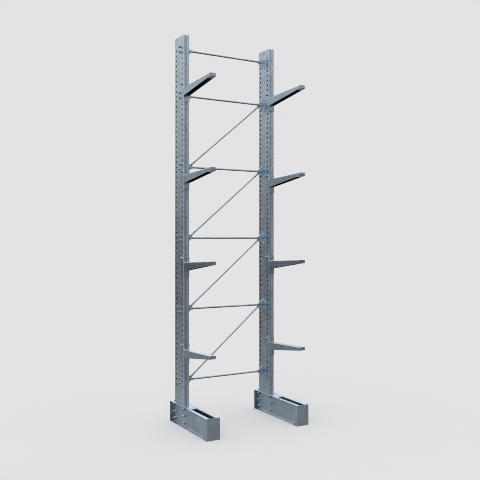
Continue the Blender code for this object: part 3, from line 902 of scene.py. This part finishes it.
def build_brackets():
    grip = POST_WIDTH + GAP + EAR_SHEET
    stud = fastener_meshes("stud", M12, grip, STUD_THREAD_OUT, domed=True)
    pin = fastener_meshes("pin", M12, EAR_SHEET + 2 * (TAB_THICK + 2 * GAP), PIN_THREAD_OUT)
    ear_mid = MID_Y + EAR_SHEET / 2
    for name, side in SIDES:
        mesh = bracket_mesh(-side)
        face = side * (POST_X - POST_WIDTH / 2)
        grip_mid = face + side * (POST_WIDTH - GAP - EAR_SHEET) / 2
        for number, level in enumerate(LEVELS, 1):
            node = f"{name}_brace_bracket_{number}"
            place(f"{node}_plate", mesh, "bracket", at=(face, MID_Y, level), stands_for=[node])
            for spot, step in (("lower", -STUD_HALF_PITCH), ("upper", STUD_HALF_PITCH)):
                where = (grip_mid, MID_Y - STUD_BEHIND, level + step)
                place_fastener(f"{node}_{spot}", stud, where, turn=(-side, 0, 0),
                               spin=math.radians(23 * number + 40 * step))
            place_fastener(f"{node}_pin", pin, (face - side * PIN_OUT, ear_mid, level),
                           turn=(0, -1, 0), spin=math.radians(31 * number))


def build_braces():
    half_span = POST_X - POST_WIDTH / 2 - PIN_OUT
    ahead = MID_Y - GAP - TAB_THICK / 2
    behind = MID_Y + EAR_SHEET + GAP + TAB_THICK / 2
    tube = tube_brace_mesh(half_span)
    for number, level in enumerate(LEVELS, 1):
        node = f"horizontal_brace_{number}"
        place(f"{node}_tube", tube, "tube", at=(0, ahead, level), stands_for=[node])

    rise = LEVELS[1] - LEVELS[0]
    lean = -math.atan2(rise, 2 * half_span)
    half_length = math.hypot(half_span, rise / 2)
    rod, sleeve = rod_brace_meshes(half_length)
    for number in range(1, 5):
        node = f"diagonal_brace_{number}"
        low, high = LEVELS[number - 1], LEVELS[number]
        place(f"{node}_rod", rod, "rod", at=(0, behind, (low + high) / 2), lean=lean,
              stands_for=[node])
        place(f"{node}_lower_sleeve", sleeve, "rod", at=(-half_span, behind, low), lean=lean)
        place(f"{node}_upper_sleeve", sleeve, "rod", at=(half_span, behind, high),
              lean=lean + math.pi)


# --- arms -------------------------------------------------------------------------------
def arm_sizes():
    """Head's width, arm's tip, head's rear, top and bottom, relative to the arm's bolt."""
    low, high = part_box("left_arm_1")
    bolt = PIVOTS["left_arm_1"]
    return high.x - low.x, low.y - bolt.y, high.y - bolt.y, high.z - bolt.z, low.z - bolt.z


HEAD_WIDTH, ARM_TIP, HEAD_REAR, HEAD_TOP, HEAD_BOTTOM = arm_sizes()
ROOT = -FRONT_HOLES_IN - HEAD_GAP - ARM_SHEET


def underside(y):
    """Height of the arm's lower edge at y."""
    return ROOT_BOTTOM + (TIP_BOTTOM - ROOT_BOTTOM) * (y - ROOT) / (ARM_TIP - ROOT)


def beam_mesh():
    """Tapered channel, folded from one sheet and open underneath."""
    half = BEAM_WIDTH / 2
    rings = []
    for y, top, bottom in ((ROOT - GAP, ROOT_TOP, ROOT_BOTTOM), (ARM_TIP, TIP_TOP, TIP_BOTTOM)):
        path = [(-half, bottom), (-half, top), (half, top), (half, bottom)]
        rings.append([(x, y, z) for x, z in sheet(path, ARM_SHEET, ARM_BEND)])
    bm = bmesh.new()
    add_rings(bm, rings)
    return finished(bm, "arm_beam")


def tip_mesh():
    """Folded plate that closes the tip and turns back under it."""
    half = BEAM_WIDTH / 2 - ARM_SHEET - GAP
    back = ARM_TIP + TIP_RETURN
    face = ARM_TIP + 2 * GAP
    path = [(back, underside(back) + GAP), (face, TIP_BOTTOM + GAP),
            (face, TIP_TOP - ARM_SHEET - GAP)]
    bm = bmesh.new()
    add_prism(bm, sheet(path, ARM_SHEET, ARM_BEND), "X", -half, half)
    return finished(bm, "arm_tip")


def head_mesh():
    """Head that straddles the upright: bearing plate with a folded ear on either side."""
    half = HEAD_WIDTH / 2
    path = [(half, HEAD_REAR), (half, ROOT), (-half, ROOT), (-half, HEAD_REAR)]
    bm = bmesh.new()
    add_prism(bm, sheet(path, ARM_SHEET, HEAD_BEND), "Z", HEAD_BOTTOM, HEAD_TOP)
    outline = rounded([(HEAD_REAR, HEAD_TOP, 0.014), (HEAD_TOP_FRONT, HEAD_TOP, 0.008),
                       (ROOT, PLATE_TOP, 0.004), (ROOT - PAST, PLATE_TOP, 0),
                       (ROOT - PAST, HEAD_BOTTOM, 0), (HEAD_BOTTOM_REAR, HEAD_BOTTOM, 0.006),
                       (HEAD_REAR, HEAD_BOTTOM + HEAD_TAPER, 0.010)])

    def profile(tool):
        add_prism(tool, outline, "X", -HEAD_WIDTH, HEAD_WIDTH)

    def hole(tool):
        radius = M14["radius"] + ARM_BOLT_SLACK
        add_turned(tool, "X", (0, 0), [(-HEAD_WIDTH, radius), (HEAD_WIDTH, radius)])

    mesh = carved(finished(bm, "arm_head"), "INTERSECT", profile)
    return carved(mesh, "DIFFERENCE", hole)


def arm_weld_mesh():
    """Beads where the beam meets the head: down both sides and across the top."""
    sunk = 0.0004
    half = BEAM_WIDTH / 2 - sunk
    y = ROOT - sunk
    bend = ARM_SHEET + ARM_BEND
    low, high = ROOT_BOTTOM + 0.002, ROOT_TOP - bend
    bm = bmesh.new()
    for side in (-1, 1):
        add_weld(bm, (side * half, y, low), (side * half, y, high), ARM_WELD)
    add_weld(bm, (-half + bend, y, ROOT_TOP), (half - bend, y, ROOT_TOP), ARM_WELD)
    return finished(bm, "arm_weld", 60)


def build_arms():
    parts = {"beam": (beam_mesh(), "arm"), "head": (head_mesh(), "arm"),
             "tip_plate": (tip_mesh(), "arm"), "weld": (arm_weld_mesh(), "weld")}
    fastener = fastener_meshes("arm", M14, HEAD_WIDTH + 2 * GAP, ARM_THREAD_OUT)
    for number, (arm, pivot) in enumerate(sorted(PIVOTS.items())):
        for part, (mesh, finish) in parts.items():
            place(f"{arm}_{part}", mesh, finish, body=arm, at=pivot,
                  stands_for=[arm] if part == "beam" else ())
        bolt_node = arm.replace("_arm_", "_arm_bolt_")
        place_fastener(f"{arm}_cross", fastener, pivot, spin=math.radians(19 * number),
                       stands_for=[bolt_node])


# --- stage, light and camera ------------------------------------------------------------
VIEW_TURN = math.radians(29.8)       # the camera's turn from +Y towards +X
FLOOR_TONE = 0.80
DAYLIGHT = 0.965             # even light that the floor is lit by
SHADOW_FILL = 0.40           # share of the floor's light that reaches into the shadows
BACKDROP = 0.765             # what the camera sees behind the rack
STUDIO = (                   # (sine of elevation, brightness) of what the metal mirrors
    (-1.00, 0.04), (-0.55, 0.08), (-0.34, 0.55), (-0.21, 0.50), (-0.12, 0.13), (-0.05, 0.02),
    (0.00, 0.13), (0.07, 0.33), (0.17, 0.62), (0.30, 0.78), (0.60, 1.60), (1.00, 2.20))
BEHIND = 1.5                 # bright wall behind the rack, seen in upward faces
LEFT_FRONT = 0.65            # added from the left, a little in front of the rack
RIGHT_SHADE = 0.38           # how much darker the right is


def build_floor():
    mesh = bpy.data.meshes.new("floor")
    bm = bmesh.new()
    bmesh.ops.create_circle(bm, cap_ends=True, segments=96, radius=160.0)
    bm.to_mesh(mesh)
    bm.free()
    floor = bpy.data.objects.new("floor", mesh)
    bpy.context.scene.collection.objects.link(floor)
    material, graph = new_material("studio_floor")
    paint = graph.node("BsdfDiffuse", {"Color": (FLOOR_TONE, FLOOR_TONE, FLOOR_TONE, 1)})
    fill = graph.node("Emission", {"Strength": FLOOR_TONE * DAYLIGHT})
    shader = graph.node("MixShader", {0: SHADOW_FILL, 1: paint.outputs[0], 2: fill.outputs[0]})
    graph.node("OutputMaterial", {"Surface": shader.outputs[0]})
    mesh.materials.append(material)
    floor.visible_glossy = False


def build_world():
    """Even light for the floor, a plain backdrop for the camera, and for the metal a
    studio that is bright above, dark round the horizon and grey below."""
    world = bpy.data.worlds.new("studio")
    bpy.context.scene.world = world
    world.use_nodes = True
    world.cycles.sampling_method = "NONE"
    graph = Graph(world.node_tree)
    direction = graph.node("TexCoord").outputs["Generated"]
    height = graph.node("SeparateXYZ", {0: direction}).outputs[2]
    bearing = graph.vector("NORMALIZE", graph.vector("MULTIPLY", direction, (1, 1, 0)))

    def towards(degrees):
        """Cosine between a ray's bearing and one turned left from the camera's."""
        turn = VIEW_TURN - math.radians(degrees)
        facing = (math.sin(turn), math.cos(turn), 0)
        return graph.node("VectorMath", {0: bearing, 1: facing},
                          operation="DOT_PRODUCT").outputs["Value"]

    ramp = graph.node("ValToRGB", {"Fac": graph.spread(height, 0.0, 1.0, -1.0, 1.0)})
    stops = ramp.color_ramp.elements
    while len(stops) < len(STUDIO):
        stops.new(1.0)
    peak = max(level for _, level in STUDIO)
    for stop, (sine, level) in zip(stops, STUDIO):
        stop.position = (sine + 1) / 2
        stop.color = (level / peak, level / peak, level / peak, 1)
    rays = graph.node("LightPath").outputs
    wall = graph.math("MULTIPLY", graph.spread(towards(20), 0, 1, 0.88, 0.97),
                      graph.spread(height, 0, 1, 0.03, 0.14))
    left = graph.math("MULTIPLY", graph.spread(towards(140), 0, 1, 0.80, 0.97),
                      graph.spread(height, 0.4 * LEFT_FRONT / peak, LEFT_FRONT / peak, -0.3, 0.3))
    right = graph.math("MULTIPLY", graph.spread(towards(-90), 0, 1, 0.35, 0.75),
                       graph.spread(towards(0), 0, RIGHT_SHADE, -0.7, -0.2))
    glow = graph.tinted(ramp.outputs[0], graph.math("SUBTRACT", 1.0, right))
    glow = graph.mixed(1.0, glow, graph.tinted((1, 1, 1, 1), left), "ADD")
    glow = graph.mixed(wall, glow, (BEHIND / peak, BEHIND / peak, BEHIND / peak, 1), "LIGHTEN")
    mirrored = graph.node("Background", {"Color": glow, "Strength": peak}).outputs[0]
    even = graph.node("Background", {"Color": (1, 1, 1, 1), "Strength": DAYLIGHT}).outputs[0]
    plain = graph.node("Background", {"Color": (1, 1, 1, 1), "Strength": BACKDROP}).outputs[0]
    lit = graph.node("MixShader", {0: rays["Is Diffuse Ray"], 1: mirrored, 2: even}).outputs[0]
    seen = graph.node("MixShader", {0: rays["Is Camera Ray"], 1: lit, 2: plain}).outputs[0]
    graph.node("OutputWorld", {"Surface": seen})


def build_camera():
    """Level camera, a little to the left of the rack, at the height of a standing person."""
    data = bpy.data.cameras.new("camera")
    data.lens = 50
    data.sensor_width = 36
    camera = bpy.data.objects.new("camera", data)
    bpy.context.scene.collection.objects.link(camera)
    camera.location = (-3.260, -5.720, 1.804)
    camera.rotation_euler = (math.radians(90), 0, -VIEW_TURN)
    bpy.context.scene.camera = camera


build_uprights()
build_bases()
build_brackets()
build_braces()
build_arms()
build_floor()
build_world()
build_camera()
bpy.context.scene.view_settings.view_transform = "Standard"
bpy.context.scene.cycles.filter_width = 0.9
